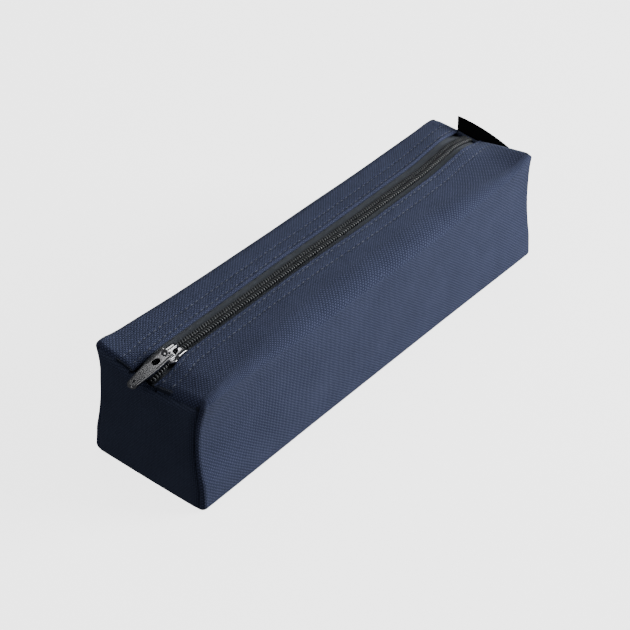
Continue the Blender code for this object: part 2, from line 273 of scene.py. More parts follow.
def settle(point):
    """Where a point of the plain pouch really lies, after the seams pull and the cloth sags."""
    x, y, z = point
    wide = clamp(abs(y) / HALF_WIDTH, 0, 1.1)
    high = ramp(z, 30, 43)
    if x < 0:
        pull = ramp(x, -85, -99) ** 1.4
        drop = seam_height(NEAR_SEAM, y) - top_height(x, y)
        lean = mix(*NEAR_LEAN, clamp(0.5 - y / (2 * HALF_WIDTH)))
        drawn_in = NEAR_DRAWN_IN
        shoulder = mix(*NEAR_SHOULDER, ease(y / HALF_WIDTH + 0.5)) * ramp(z, 36, 45)
    else:
        pull = ramp(x, 82, 99) ** 1.3
        drop = seam_height(FAR_SEAM, y) - top_height(x, y)
        lean = FAR_LEAN
        drawn_in = FAR_DRAWN_IN
        shoulder = 0
    # The ends lean out at the foot.
    end_share = ramp(abs(x), 55, 100)
    moved_x = x + math.copysign(lean * MM * end_share * clamp(1 - z / (LEAN_HEIGHT * MM)), x)
    # The walls are drawn in at half height near the end seams, and stand wider at the foot.
    waist = clamp(1 - ((z / MM - WAIST_HEIGHT) / WAIST_SPAN) ** 2)
    foot = clamp(1 - z / (30 * MM)) ** 1.3
    outwards = FOOT_FLARE * foot + BELLY * waist * middle_share(x) - (drawn_in * waist - shoulder) * end_share
    moved_y = y + math.copysign(1, y) * outwards * MM * wide ** 3
    # Gentle unevenness of the cloth, none of it where it stands on the floor.
    wave = noise.noise(Vector((x * 28, y * 40, z * 40)) + Vector((3.1, 0, 7.7)))
    moved_y += UNEVENNESS * MM * wave * ramp(z, 0, 12) * wide ** 3
    # The upper corners are soft.
    corner = ramp(abs(x), 93, 99) * ramp(abs(y), 20, 25) * high * MM
    if x > 0:
        corner *= FAR_CORNER_SHARE
    along, across, down = CORNER_INSET
    moved_x -= math.copysign(along * corner, x)
    moved_y -= math.copysign(across * corner, y)
    return Vector((moved_x, moved_y, z + pull * high * drop - down * corner))


def section(x, side, v):
    """The plain pouch's line in (y, z) on one side: 0-1 the hem's underside, 1-2 its roll, 2-3 the top,
    3-4 the long fold, 4-5 the wall, 5-6 the lower fold, 6-7 the bottom up to the middle."""
    edge_y = side * zip_side(x) + mouth_half(x, side)
    edge_z = edge_height(x)
    wide, high = fold_width(x, side), by_fold(FOLD_FALLS, x, side)
    crest = HALF_WIDTH - wide
    if v < 1:
        away = edge_y + HEM_ROLL + HEM_UNDER * (1 - v)
        rise = top_height(x, side * min(away, crest)) - edge_z
        y, z = away, edge_z - 2 * HEM_ROLL + rise
    elif v < 2:
        turn = math.radians(270 - 180 * (v - 1))
        y, z = edge_y + HEM_ROLL + HEM_ROLL * math.cos(turn), edge_z - HEM_ROLL + HEM_ROLL * math.sin(turn)
    elif v < 3:
        start = edge_y + HEM_ROLL
        y = mix(start, crest, v - 2)
        share = clamp((crest - y) / (crest - edge_y))
        z = FOLD_HEIGHT + (edge_z - FOLD_HEIGHT) * share ** CROWN_POWER
        for row in STITCH_ROWS:
            z -= STITCH_SINK * math.exp(-((y - edge_y - row) / (0.45 * MM)) ** 2)
    elif v < 4:
        turn = math.radians(90 * (4 - v))
        y, z = crest + wide * math.cos(turn), FOLD_HEIGHT - high + high * math.sin(turn)
    elif v < 5:
        y, z = HALF_WIDTH, mix(FOLD_HEIGHT - high, bottom_radius(x), v - 4)
    elif v < 6:
        turn = math.radians(90 * (v - 5))
        radius = bottom_radius(x)
        y, z = HALF_WIDTH - radius + radius * math.cos(turn), radius - radius * math.sin(turn)
    else:
        y, z = mix(HALF_WIDTH - bottom_radius(x), 0.0, v - 6), 0.0
    return Vector((0.0, side * y, z))


def roll_path(t, along_radius, inward_radius, second_turn):
    """A cloth edge that turns into its seam. Gives (along, inwards) from the corner that it turns at."""
    if t < 0.5:
        turn = math.pi * t
        return -along_radius * (1 - math.sin(turn)), inward_radius * (1 - math.cos(turn))
    small = 0.4 * MM
    turn = second_turn * clamp((t - 0.5) / 0.25)
    along, inwards = -small * (1 - math.cos(turn)), inward_radius + small * math.sin(turn)
    dive = SEAM_DIVE * clamp((t - 0.75) / 0.25)
    return along - dive * math.sin(turn), inwards + dive * math.cos(turn)


# The turned ends' roll in mm: on the wall, on the top, and on the top by the near front corner.
ROLL_ALONG = (1.8, 2.0, 3.2)
ROLL_INWARD = (1.4, 2.0, 2.7)
ROLL_CORNER = (0.5, 1.1)
ROLL_SECOND_TURN = 40
ROLL_FLAT_SHARE = 0.3


def cloth_point(u, side, v):
    """The wrap's surface: u is the place along the case, and past ROLL_START it turns into the end seam."""
    end = 1 if u > 0 else -1
    t = clamp((abs(u) - ROLL_START) / (HALF_LENGTH - ROLL_START))
    if t <= 0:
        return settle(Vector((u, 0, 0)) + section(u, side, v))
    top = ease(4 - v)
    which = 2 if side < 0 and end < 0 else 1
    along_radius = mix(ROLL_ALONG[0], ROLL_ALONG[which], top) * MM
    inward_radius = mix(ROLL_INWARD[0], ROLL_INWARD[which], top) * MM
    second_turn = math.radians(mix(ROLL_SECOND_TURN, 0, top))
    corner_x = HALF_LENGTH - mix(*ROLL_CORNER, top) * MM
    if t < ROLL_FLAT_SHARE:
        x, inwards = mix(ROLL_START, corner_x - along_radius, t / ROLL_FLAT_SHARE), 0.0
    else:
        share = (t - ROLL_FLAT_SHARE) / (1 - ROLL_FLAT_SHARE)
        along, inwards = roll_path(share, along_radius, inward_radius, second_turn)
        x = corner_x + along
    inwards *= ease(v - 1.3)
    here = section(end * x, side, v)
    step = 0.02
    tangent = section(end * x, side, min(v + step, 7)) - section(end * x, side, max(v - step, 0))
    normal = Vector((0, tangent.z, -tangent.y)).normalized() * side
    return settle(Vector((end * x, 0, 0)) + here + normal * inwards)


def spaced(low, high, count):
    return [mix(low, high, i / count) for i in range(count + 1)]


def cloth_columns(low, high):
    """Places along the case: even over the middle, close together in the end seams."""
    middle_low, middle_high = max(low, -ROLL_START), min(high, ROLL_START)
    columns = spaced(middle_low, middle_high, round((middle_high - middle_low) / (1.6 * MM)))
    if low < -ROLL_START:
        columns = spaced(low, -ROLL_START, 16)[:-1] + columns
    if high > ROLL_START:
        columns = columns + spaced(ROLL_START, high, 16)[1:]
    return columns


def lay_cloth(name, us, vs, place, weave, thickness, cloths, flip=False):
    """A sheet of cloth from a grid, moved vertex by vertex onto its place, and given its thickness.
    The sheet keeps the surface's own normals, so that it shades as one with the sheets that it joins.
    cloths are the right side's material and, where it differs, the reverse's.
    weave(u, v) gives each vertex its place in the weave, in metres of cloth."""
    columns, rows = len(us) - 1, len(vs) - 1
    obj = add_piece(name, bpy.ops.mesh.primitive_grid_add, x_subdivisions=columns, y_subdivisions=rows, size=1)
    obj.data.name = name
    where = []
    for vert in obj.data.vertices:
        i = round((vert.co.x + 0.5) * columns)
        j = round((vert.co.y + 0.5) * rows)
        where.append((us[i], vs[j]))
    for vert, (u, v) in zip(obj.data.vertices, where):
        vert.co = place(u, v)
    if flip:
        edit_all(obj, bpy.ops.mesh.flip_normals)
    layer = obj.data.uv_layers[0]
    layer.name = "weave"
    for loop in obj.data.loops:
        layer.data[loop.index].uv = weave(*where[loop.vertex_index])
    count = len(where)
    for cloth in cloths:
        obj.data.materials.append(cloth)
    apply_modifier(obj, "SOLIDIFY", thickness=thickness, offset=-1.0, use_quality_normals=True,
                   material_offset=len(cloths) - 1)
    shade(obj, 50)
    step_u, step_v = 0.2 * MM, 0.02
    sign = -1 if flip else 1
    normals = []
    for u, v in where:
        du = Vector(place(u + step_u, v)) - Vector(place(u - step_u, v))
        dv = Vector(place(u, v + step_v)) - Vector(place(u, v - step_v))
        normal = du.cross(dv) * sign
        normals.append(normal.normalized() if normal.length > 1e-12 else Vector((0, 0, 0)))
    outer = [Vector((0, 0, 0))] * len(obj.data.vertices)
    outer[:count] = normals
    corner_normals = []
    for face in obj.data.polygons:
        for loop_index in face.loop_indices:
            vertex = obj.data.loops[loop_index].vertex_index
            wanted = outer[vertex]
            keeps = wanted.length > 0.5 and wanted.dot(face.normal) > 0.6
            corner_normals.append(wanted if keeps else obj.data.corner_normals[loop_index].vector.copy())
    obj.data.normals_split_custom_set(corner_normals)
    return obj


# Materials.

class Nodes:
    """A material's node tree, with short ways to add and link its nodes."""

    def __init__(self, name):
        self.material = bpy.data.materials.new(name)
        self.material.use_nodes = True
        self.tree = self.material.node_tree
        self.shader = self.tree.nodes["Principled BSDF"]

    def add(self, kind, **settings):
        node = self.tree.nodes.new(kind)
        for name, value in settings.items():
            setattr(node, name, value)
        return node

    def link(self, source, target):
        self.tree.links.new(source, target)

    def math(self, operation, a, b=None, c=None):
        node = self.add("ShaderNodeMath", operation=operation)
        for socket, value in zip(node.inputs, (a, b, c)):
            if isinstance(value, (int, float)):
                socket.default_value = value
            elif value is not None:
                self.link(value, socket)
        return node.outputs[0]

    def mix_colour(self, share, a, b):
        node = self.add("ShaderNodeMix", data_type="RGBA", blend_type="MIX")
        for socket, value in ((node.inputs[0], share), (node.inputs[6], a), (node.inputs[7], b)):
            if isinstance(value, (int, float)):
                socket.default_value = value
            elif isinstance(value, tuple):
                socket.default_value = (*value, 1.0)
            else:
                self.link(value, socket)
        return node.outputs[2]

    def base_colour(self, share, dark, light):
        self.link(self.mix_colour(share, dark, light), self.shader.inputs["Base Color"])

    def roughness(self, value, low, high, to_low, to_high):
        self.link(self.spread(value, low, high, to_low, to_high), self.shader.inputs["Roughness"])

    def object_place(self):
        return self.add("ShaderNodeTexCoord").outputs["Object"]

    def spread(self, value, low, high, to_low=0.0, to_high=1.0):
        node = self.add("ShaderNodeMapRange")
        self.link(value, node.inputs[0])
        for socket, number in zip(node.inputs[1:5], (low, high, to_low, to_high)):
            socket.default_value = number
        return node.outputs[0]

    def noise(self, place, scale, detail=3.0, roughness=0.6):
        node = self.add("ShaderNodeTexNoise")
        self.link(place, node.inputs["Vector"])
        node.inputs["Scale"].default_value = scale
        node.inputs["Detail"].default_value = detail
        node.inputs["Roughness"].default_value = roughness
        return node.outputs["Fac"]

    def bump(self, height, strength, distance, normal=None):
        node = self.add("ShaderNodeBump")
        node.inputs["Strength"].default_value = strength
        node.inputs["Distance"].default_value = distance
        self.link(height, node.inputs["Height"])
        if normal:
            self.link(normal, node.inputs["Normal"])
        self.link(node.outputs[0], self.shader.inputs["Normal"])
        return node.outputs[0]

    def set(self, **values):
        for name, value in values.items():
            socket = self.shader.inputs[name.replace("_", " ")]
            socket.default_value = (*value, 1.0) if isinstance(value, tuple) else value


def plain_weave(nodes, uv, pitch_u, pitch_v):
    """Heights of a plain weave, and which thread is on top: 0 for one set of threads, 1 for the other."""
    split = nodes.add("ShaderNodeSeparateXYZ")
    nodes.link(uv, split.inputs[0])
    wave_u = nodes.math("SINE", nodes.math("MULTIPLY", split.outputs[0], math.pi / pitch_u))
    wave_v = nodes.math("SINE", nodes.math("MULTIPLY", split.outputs[1], math.pi / pitch_v))
    over = nodes.spread(nodes.math("MULTIPLY", wave_u, wave_v), -0.12, 0.12)
    across_u = nodes.math("ABSOLUTE", wave_u)
    across_v = nodes.math("ABSOLUTE", wave_v)
    warp = nodes.math("MULTIPLY", nodes.math("POWER", across_u, 0.6), nodes.math("ADD", across_v, 0.6))
    weft = nodes.math("MULTIPLY", nodes.math("POWER", across_v, 0.6), nodes.math("ADD", across_u, 0.6))
    height = nodes.math("ADD", nodes.math("MULTIPLY", warp, over),
                        nodes.math("MULTIPLY", weft, nodes.math("SUBTRACT", 1.0, over)))
    return nodes.math("DIVIDE", height, 1.6), over


def woven_cloth(name, dark, light, pitch_u, pitch_v, bump_height, speck=0.5, sheen=0.15, roughness=0.85,
                thread_contrast=0.0):
    """Woven cloth: threads over and under, uneven yarn, pale specks of fibre and a soft sheen."""
    nodes = Nodes(name)
    uv = nodes.add("ShaderNodeUVMap", uv_map="weave").outputs[0]
    # Yarn that wanders a little, so that the threads aren't ruled lines.
    wander = nodes.add("ShaderNodeTexNoise")
    nodes.link(uv, wander.inputs["Vector"])
    wander.inputs["Scale"].default_value = 260
    wander.inputs["Detail"].default_value = 2
    shift = nodes.add("ShaderNodeVectorMath", operation="MULTIPLY_ADD")
    nodes.link(wander.outputs["Color"], shift.inputs[0])
    shift.inputs[1].default_value = (0.35 * pitch_u, 0.35 * pitch_v, 0)
    nodes.link(uv, shift.inputs[2])
    height, over = plain_weave(nodes, shift.outputs[0], pitch_u, pitch_v)
    yarn = nodes.noise(uv, 1500, 3)
    blotch = nodes.noise(uv, 60, 4)
    fibre = nodes.noise(uv, 5200, 2)
    tone = nodes.math("ADD", nodes.math("MULTIPLY", height, 0.55), nodes.math("MULTIPLY", yarn, 0.45))
    tone = nodes.math("ADD", tone, nodes.math("MULTIPLY", nodes.math("SUBTRACT", blotch, 0.5), 0.35))
    tone = nodes.math("ADD", tone, nodes.math("MULTIPLY", nodes.math("SUBTRACT", fibre, 0.5), speck))
    tone = nodes.math("ADD", tone, nodes.math("MULTIPLY", nodes.math("SUBTRACT", over, 0.5), thread_contrast))
    nodes.base_colour(nodes.spread(tone, 0.15, 0.95), dark, light)
    nodes.set(Sheen_Weight=sheen, Sheen_Roughness=0.5, Sheen_Tint=(0.62, 0.70, 0.90))
    nodes.roughness(height, 0.0, 1.0, roughness + 0.08, roughness - 0.06)
    nodes.set(Specular_IOR_Level=0.12)
    relief = nodes.math("ADD", height, nodes.math("MULTIPLY", yarn, 0.35))
    nodes.bump(relief, 0.9, bump_height)
    return nodes.material


# Each cloth: its dark and light tones, the pitch of its threads both ways and its relief in mm, and its looks.
WEAVES = {
    "navy_cloth": ((0.013, 0.018, 0.040), (0.084, 0.098, 0.184), (0.745, 0.60, 0.16),
                   {"speck": 0.8, "thread_contrast": 0.5}),
    "navy_end_cloth": ((0.013, 0.018, 0.036), (0.084, 0.098, 0.165), (0.60, 0.745, 0.16),
                       {"speck": 0.8, "thread_contrast": 0.15}),
    "coated_reverse": ((0.012, 0.015, 0.026), (0.030, 0.036, 0.056), (0.745, 0.60, 0.05),
                       {"speck": 0.2, "sheen": 0.05, "roughness": 0.5}),
    "zip_tape_weave": ((0.055, 0.061, 0.068), (0.205, 0.222, 0.248), (0.42, 0.50, 0.08), {}),
    "black_ribbon": ((0.0035, 0.0035, 0.0040), (0.012, 0.012, 0.013), (0.35, 0.50, 0.06),
                     {"speck": 0.2, "sheen": 0.05, "roughness": 0.9}),
    "binding_tape": ((0.012, 0.015, 0.024), (0.035, 0.042, 0.062), (0.45, 0.45, 0.06), {}),
}


def cloth_named(name):
    dark, light, (pitch_u, pitch_v, relief), looks = WEAVES[name]
    return woven_cloth(name, dark, light, pitch_u * MM, pitch_v * MM, relief * MM, **looks)


def coil_nylon():
    """Black moulded nylon with a soft gloss."""
    nodes = Nodes("zip_coil_nylon")
    place = nodes.object_place()
    grain = nodes.noise(place, 2600, 3)
    tone = nodes.noise(place, 240, 2)
    nodes.base_colour(tone, (0.060, 0.064, 0.068), (0.120, 0.127, 0.134))
    nodes.roughness(grain, 0.3, 0.7, 0.24, 0.40)
    nodes.set(Specular_IOR_Level=0.6)
    nodes.bump(grain, 0.25, 0.03 * MM)
    return nodes.material


def black_nickel():
    """Polished black nickel over a die casting: mirror bright, with a faint orange-peel and fine scratches."""
    nodes = Nodes("black_nickel")
    place = nodes.object_place()
    peel = nodes.noise(place, 900, 2)
    wear = nodes.noise(place, 2600, 4)
    nodes.base_colour(wear, (0.34, 0.34, 0.35), (0.46, 0.46, 0.47))
    nodes.roughness(wear, 0.35, 0.7, 0.10, 0.18)
    nodes.set(Metallic=1.0)
    nodes.bump(peel, 0.10, 0.02 * MM)
    return nodes.material


def matt_nickel():
    """The tag's sunk panel: a rough casting, darkened."""
    nodes = Nodes("matt_black_nickel")
    place = nodes.object_place()
    grain = nodes.noise(place, 2200, 3)
    nodes.base_colour(grain, (0.008, 0.008, 0.009), (0.022, 0.022, 0.024))
    nodes.roughness(grain, 0.3, 0.7, 0.35, 0.50)
    nodes.set(Metallic=0.0, Specular_IOR_Level=0.4)
    nodes.bump(grain, 0.3, 0.03 * MM)
    return nodes.material


def sewing_thread(name, dark, light):
    """Twisted polyester thread."""
    nodes = Nodes(name)
    place = nodes.object_place()
    turned = nodes.add("ShaderNodeMapping")
    turned.inputs["Rotation"].default_value = (0.5, 0.3, 0.7)
    nodes.link(place, turned.inputs["Vector"])
    twist = nodes.add("ShaderNodeTexWave", wave_profile="SIN")
    nodes.link(turned.outputs[0], twist.inputs["Vector"])
    twist.inputs["Scale"].default_value = 900
    twist.inputs["Distortion"].default_value = 1.5
    fibre = nodes.noise(place, 4000, 2)
    tone = nodes.math("ADD", nodes.math("MULTIPLY", twist.outputs["Fac"], 0.5),
                      nodes.math("MULTIPLY", fibre, 0.5))
    nodes.base_colour(tone, dark, light)
    nodes.roughness(fibre, 0.3, 0.7, 0.5, 0.7)
    nodes.set(Sheen_Weight=0.3, Sheen_Roughness=0.4)
    nodes.bump(tone, 0.5, 0.05 * MM)
    return nodes.material


# The pouch.

def stretch(end, low=-HALF_LENGTH, high=HALF_LENGTH):
    """The near or the far half of something that runs along the case."""
    return (low, 0.0) if end == "near" else (0.0, high)


def finish_half(obj, side_name, end, slot, *replaces):
    """Hides the parts that the piece replaces and bakes its transform into its mesh."""
    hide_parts(*replaces)
    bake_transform(obj)
    return obj


def line_lengths(us, vs, place):
    """Cloth length along a section, for the weave."""
    lengths = {vs[0]: 0.0}
    u = us[len(us) // 2]
    for low, high in zip(vs, vs[1:]):
        lengths[high] = lengths[low] + (place(u, high) - place(u, low)).length
    return lengths


def along_lengths(us, v, place):
    """Cloth length along the case, counted on round the end rolls."""
    lengths = {u: u for u in us if abs(u) <= ROLL_START}
    for side in (-1, 1):
        rolled = sorted((u for u in us if side * u >= ROLL_START), key=abs)
        for before, u in zip(rolled, rolled[1:]):
            lengths[u] = lengths[before] + side * (place(u, v) - place(before, v)).length
    return lengths


def pouch_wrap(cloth, reverse):
    """Both walls and the bottom, one piece, up to the long folds."""
    us = cloth_columns(-HALF_LENGTH, HALF_LENGTH)
    half = spaced(4, 5, 22) + spaced(5, 6, 8)[1:] + spaced(6, 7, 14)[1:]
    vs = [v - 7 for v in half] + [7 - v for v in reversed(half[:-1])]

    def place(u, v):
        side = -1 if v <= 0 else 1
        return cloth_point(u, side, 7 - abs(v))

    lengths = line_lengths(us, vs, place)
    along = along_lengths(us, vs[len(vs) // 8], place)
    obj = lay_cloth("pouch_wrap", us, vs, place, lambda u, v: (along[u], lengths[v]), CLOTH, (cloth, reverse),
                    flip=True)
    finish_piece(obj, "root", cloth, ["wrap_panel"])
    return obj


def lip_rows():
    return spaced(0, 1, 5) + spaced(1, 2, 8)[1:] + spaced(2, 3, 26)[1:] + spaced(3, 4, 14)[1:]


def pouch_lip(side_name, side, end, cloth, reverse):
    """One half of a lip: from the long fold up over the top to the hem beside the zip."""
    us = cloth_columns(*stretch(end))
    vs = lip_rows()

    def place(u, v):
        return cloth_point(u, side, clamp(v, 0, 5))

    lengths = line_lengths(us, vs, place)
    along = along_lengths(us, 2.5, place)
    obj = lay_cloth(f"{side_name}_top_{end}_half", us, vs, place, lambda u, v: (along[u], lengths[v]), CLOTH,
                    (cloth, reverse), flip=side < 0)
    finish_half(obj, side_name, end, "navy_cloth", f"{side_name}_lip", f"{side_name}_top_{end}")
    return obj


# The end panels: how much of each is flat face, and where the border turns in.
PANEL_FACE = 0.80
PANEL_SIDE_RADIUS, PANEL_FOOT_RADIUS, PANEL_TOP_RADIUS = 3.0 * MM, 2.4 * MM, 2.4 * MM
PANEL_SIDE_DEPTH, PANEL_FOOT_DEPTH, PANEL_TOP_DEPTH = 1.8 * MM, 0.9 * MM, 2.4 * MM
PANEL_SIDE_OFFSET, PANEL_FOOT_OFFSET = -1.9 * MM, -1.2 * MM
PANEL_PILLOW = 0.8 * MM
PANEL_STANDS_OUT = 0.5 * MM


def panel_spacing(count_inner, count_roll):
    rolls = spaced(PANEL_FACE, 1.0, count_roll)[1:]
    middle = spaced(-PANEL_FACE, PANEL_FACE, count_inner)
    return [-r for r in reversed(rolls)] + middle + rolls


def panel_border(value, offset, along_radius, inward_radius, second_turn):
    """Past the panel's flat face, how far its border has gone outwards from the edge and into the seam."""
    t = clamp((abs(value) - PANEL_FACE) / (1 - PANEL_FACE))
    along, inwards = roll_path(t, along_radius, inward_radius, math.radians(second_turn))
    return offset + along, inwards


def end_panel_point(end, a, b):
    """The end panel's surface: a across and b up, both from -1 to 1, with its border turned into the seam."""
    face_half = HALF_WIDTH + PANEL_SIDE_OFFSET - PANEL_SIDE_RADIUS
    depth_side = depth_up = 0.0
    y = a / PANEL_FACE * face_half
    if abs(a) > PANEL_FACE:
        out, depth_side = panel_border(a, PANEL_SIDE_OFFSET, PANEL_SIDE_RADIUS, PANEL_SIDE_DEPTH, 45)
        y = math.copysign(HALF_WIDTH + out, a)
    zip_dip = math.exp(-((y - zip_side(end * HALF_LENGTH)) / (4.5 * MM)) ** 2)
    below = mix(1.6, 2.9, ease(0.5 - y / HALF_WIDTH)) if end < 0 else 0.7
    crest = top_height(end * HALF_LENGTH, y) - (below + (0.9 if end < 0 else 0.2) * zip_dip) * MM
    low, high = -PANEL_FOOT_OFFSET + PANEL_FOOT_RADIUS, crest - PANEL_TOP_RADIUS
    z = mix(low, high, (b / PANEL_FACE + 1) / 2)
    if b > PANEL_FACE:
        out, depth_up = panel_border(b, 0.0, PANEL_TOP_RADIUS, PANEL_TOP_DEPTH, 90)
        z = crest + out
    elif b < -PANEL_FACE:
        out, depth_up = panel_border(b, PANEL_FOOT_OFFSET, PANEL_FOOT_RADIUS, PANEL_FOOT_DEPTH, 45)
        z = -out
    pillow = PANEL_PILLOW * (1 - a * a) * (1 - b * b)
    depth = math.hypot(depth_side, depth_up) - pillow - PANEL_STANDS_OUT
    return settle(Vector((end * (HALF_LENGTH - depth), y, z)))


def end_panel(name, end, cloth, reverse, node):
    """A square panel with its border turned in all round."""
    us = panel_spacing(34, 12)
    vs = panel_spacing(32, 12)

    def place(u, v):
        return end_panel_point(end, u, v)

    def weave(u, v):
        point = place(u, v)
        return point.y, point.z

    obj = lay_cloth(name, us, vs, place, weave, CLOTH, (cloth, reverse), flip=end < 0)
    finish_piece(obj, "root", cloth, [node])
    return obj


BINDING_WIDTH = 10.5 * MM
BINDING_INSIDE = 1.6 * MM
BINDING_WALL = 38 * MM
BINDING_CORNER = 3 * MM


def inside_ring(x, share, inside):
    """Round the inside of an end seam, up one wall, down the other and across the bottom, from 0 to 1."""
    wall, radius = BINDING_WALL, BINDING_CORNER
    half = HALF_WIDTH - inside
    run = share * (4 * half + 2 * wall)
    if run < 2 * half:
        y, z = half - run, wall
    elif run < 2 * half + wall:
        y, z = -half, wall - (run - 2 * half)
    elif run < 4 * half + wall:
        y, z = -half + (run - 2 * half - wall), 0.0
    else:
        y, z = half, run - 4 * half - wall
    z = max(z, 0.0) + inside
    # Rounded corners: points near a corner are drawn towards it along the arc.
    off_y = max(0.0, abs(y) - (half - radius))
    off_z = max(0.0, (inside + radius) - z, z - (wall + inside - radius))
    if off_y > 0 and off_z > 0:
        scale = radius / max(radius, math.hypot(off_y, off_z))
        y = math.copysign(half - radius + off_y * scale, y)
        middle = inside + radius if z < wall / 2 else wall + inside - radius
        z = middle + math.copysign(off_z * scale, z - middle)
    return settle(Vector((x, y, z)))


def seam_binding(name, end, cloth):
    """The bias tape over the turned-in seam edges inside an end, its ends overlapping on the bottom."""
    start = HALF_LENGTH - 1.5 * MM

    def place(u, v):
        overlap = 0.5 * MM * clamp((v - 0.97) / 0.03)
        return inside_ring(end * (start - u), (v + 0.62) % 1.0, BINDING_INSIDE + overlap)

    us = spaced(0, BINDING_WIDTH, 8)
    vs = spaced(0, 0.999, 110)
    length = 4 * HALF_WIDTH + 2 * BINDING_WALL
    obj = lay_cloth(f"{name}_binding_tape", us, vs, place, lambda u, v: (u, v * length), 0.6 * MM, (cloth,),
                    flip=end > 0)
    finish_piece(obj, "root", cloth, [f"{name}_seam_binding"])
    return obj


def seam_stitches(name, end, thread):
    """The thread that sews an end panel in: short stitches down in the groove, all round it."""
    obj = stitch_mesh(f"{name}_seam_stitches")
    length = 2 * HALF_WIDTH + 2 * FOLD_HEIGHT + 2 * (HALF_WIDTH - 6 * MM)
    count = int(length / STITCH_PITCH)
    repeat_along(obj, count, STITCH_PITCH)
    x = end * (HALF_LENGTH - 1.3 * MM)
    inside = 2.6 * MM

    def route(run):
        side = -1 if run < length / 2 else 1
        v = 2.1 + 4.9 * clamp((run if side < 0 else length - run) / (length / 2))
        line = section(x, side, v)
        step = section(x, side, v + 0.02) - section(x, side, v - 0.02)
        normal = Vector((0, step.z, -step.y)).normalized() * side
        return settle(Vector((x, 0, 0)) + line + normal * inside), settle(Vector((x, 0, 0)) + line)

    for vert in obj.data.vertices:
        centre, rim = route(vert.co.x + STITCH_PITCH / 2)
        outwards = (rim - centre).normalized()
        vert.co = centre + Vector((vert.co.y, 0, 0)) + outwards * vert.co.z
    shade(obj, 60)
    finish_piece(obj, "root", thread, [f"{name}_seam_thread"])
    return obj


# The zip.

COIL_PITCH = 1.22 * MM
COIL_CENTRE = 1.12 * MM
SLIDER_MIDDLE = -86 * MM
TAPE_LEVEL = -0.75 * MM
COIL_PARTED = 1.35 * MM
COIL_RING = 0.82 * MM
COIL_WIRE = 0.31 * MM
COIL_SLANT = 0.32
NEAR_TURNS = 80
FAR_TURNS = 81
TAPE_WIDTH = 11 * MM
TAPE_FROM_MIDDLE = 0.45 * MM
TAPE_NEAR = -97.8 * MM
TAPE_FAR = 99.8 * MM


def chain_point(x, off_side, off_up):
    """A point beside the zip's centre line, which dips with the cloth at both ends."""
    y = zip_side(x)
    base = zip_height(x)
    if x < 0:
        pull = ramp(x, -91, -99) ** 1.4
        drop = seam_height(NEAR_SEAM, y) - LIP_ABOVE_CHAIN - base
    else:
        pull = ramp(x, 82, 99) ** 1.3
        drop = seam_height(FAR_SEAM, y) - LIP_ABOVE_CHAIN - base - 1.2 * MM * ramp(x, 96, 100)
    return Vector((x, y + off_side, base + pull * drop + off_up))


def parting(x):
    """How far each row stands off the middle ahead of the slider, and where it is still open."""
    return COIL_PARTED * ease((SLIDER_MIDDLE - x) / (5 * MM))


def coil_row(side_name, side, end, nylon):
    """One half of a coil row: a squashed ring of nylon for each turn, all copies of the first."""
    low, high = stretch(end, -NEAR_TURNS * COIL_PITCH, FAR_TURNS * COIL_PITCH)
    obj = add_piece(f"{side_name}_coil_{end}_half", bpy.ops.mesh.primitive_torus_add, major_segments=14,
                    minor_segments=6, major_radius=COIL_RING, minor_radius=COIL_WIRE,
                    rotation=(0, math.radians(90), 0))
    settle_transform(obj)
    for vert in obj.data.vertices:
        vert.co.x += COIL_SLANT * side * vert.co.y
    repeat_along(obj, round((high - low) / COIL_PITCH), COIL_PITCH)
    shift = low + (0.5 * COIL_PITCH if side > 0 else 0.0)
    for vert in obj.data.vertices:
        x = vert.co.x + shift
        vert.co = chain_point(x, side * (COIL_CENTRE + parting(x)) + vert.co.y, vert.co.z)
    shade(obj, 80)
    obj.data.materials.append(nylon)
    return finish_half(obj, side_name, end, "zip_coil", f"{side_name}_zip_coil")


def zip_tape(side_name, side, end, cloth):
    """One half of a tape: flat under the coil, then up under the hem that is sewn to it."""
    low, high = stretch(end, TAPE_NEAR, TAPE_FAR)
    us = spaced(low, high, 90)
    vs = spaced(0, 1, 14)

    def place(u, v):
        away = TAPE_FROM_MIDDLE + parting(u) + v * TAPE_WIDTH
        half = mouth_half(u, side)
        rise = top_height(u, zip_side(u) + side * max(half, away)) - edge_height(u)
        # At the near end it dips into the seam, and ends sooner under the hem.
        dip = 1.6 * MM * ease((-93 * MM - u) / (4.8 * MM))
        short = 3.2 * MM * ease((away - half) / (1.5 * MM)) * ease((-90 * MM - u) / (7.8 * MM))
        return chain_point(u + short, side * away, TAPE_LEVEL + rise - dip)

    obj = lay_cloth(f"{side_name}_tape_{end}_half", us, vs, place, lambda u, v: (u, v * TAPE_WIDTH), 0.5 * MM,
                    (cloth,), flip=side < 0)
    finish_half(obj, side_name, end, "zip_tape", f"{side_name}_zip_tape")
    return obj


STITCH_PITCH = 2.75 * MM
STITCH_LENGTH = 2.25 * MM
THREAD_RADIUS = 0.20 * MM


def stitch_mesh(name):
    """One stitch: rings of thread along it, sinking into the cloth at both ends, closed off flat."""
    obj = add_piece(name, bpy.ops.mesh.primitive_grid_add, x_subdivisions=6, y_subdivisions=6, size=1)
    for vert in obj.data.vertices:
        along = 2 * vert.co.x
        turn = 2 * math.pi * (vert.co.y + 0.5)
        radius = THREAD_RADIUS * (1 - 0.5 * abs(along) ** 6)
        sink = 0.5 * MM * abs(along) ** 3
        vert.co = (along * STITCH_LENGTH / 2, radius * math.sin(turn), radius * math.cos(turn) - sink)

    def close_ends():
        bpy.ops.mesh.remove_doubles(threshold=0.01 * MM)
        bpy.ops.mesh.select_all(action="DESELECT")
        bpy.ops.mesh.select_mode(type="EDGE")
        bpy.ops.mesh.select_non_manifold()
        bpy.ops.mesh.edge_face_add()
        bpy.ops.mesh.select_all(action="SELECT")
        bpy.ops.mesh.normals_make_consistent(inside=False)

    edit_all(obj, close_ends)
    return obj


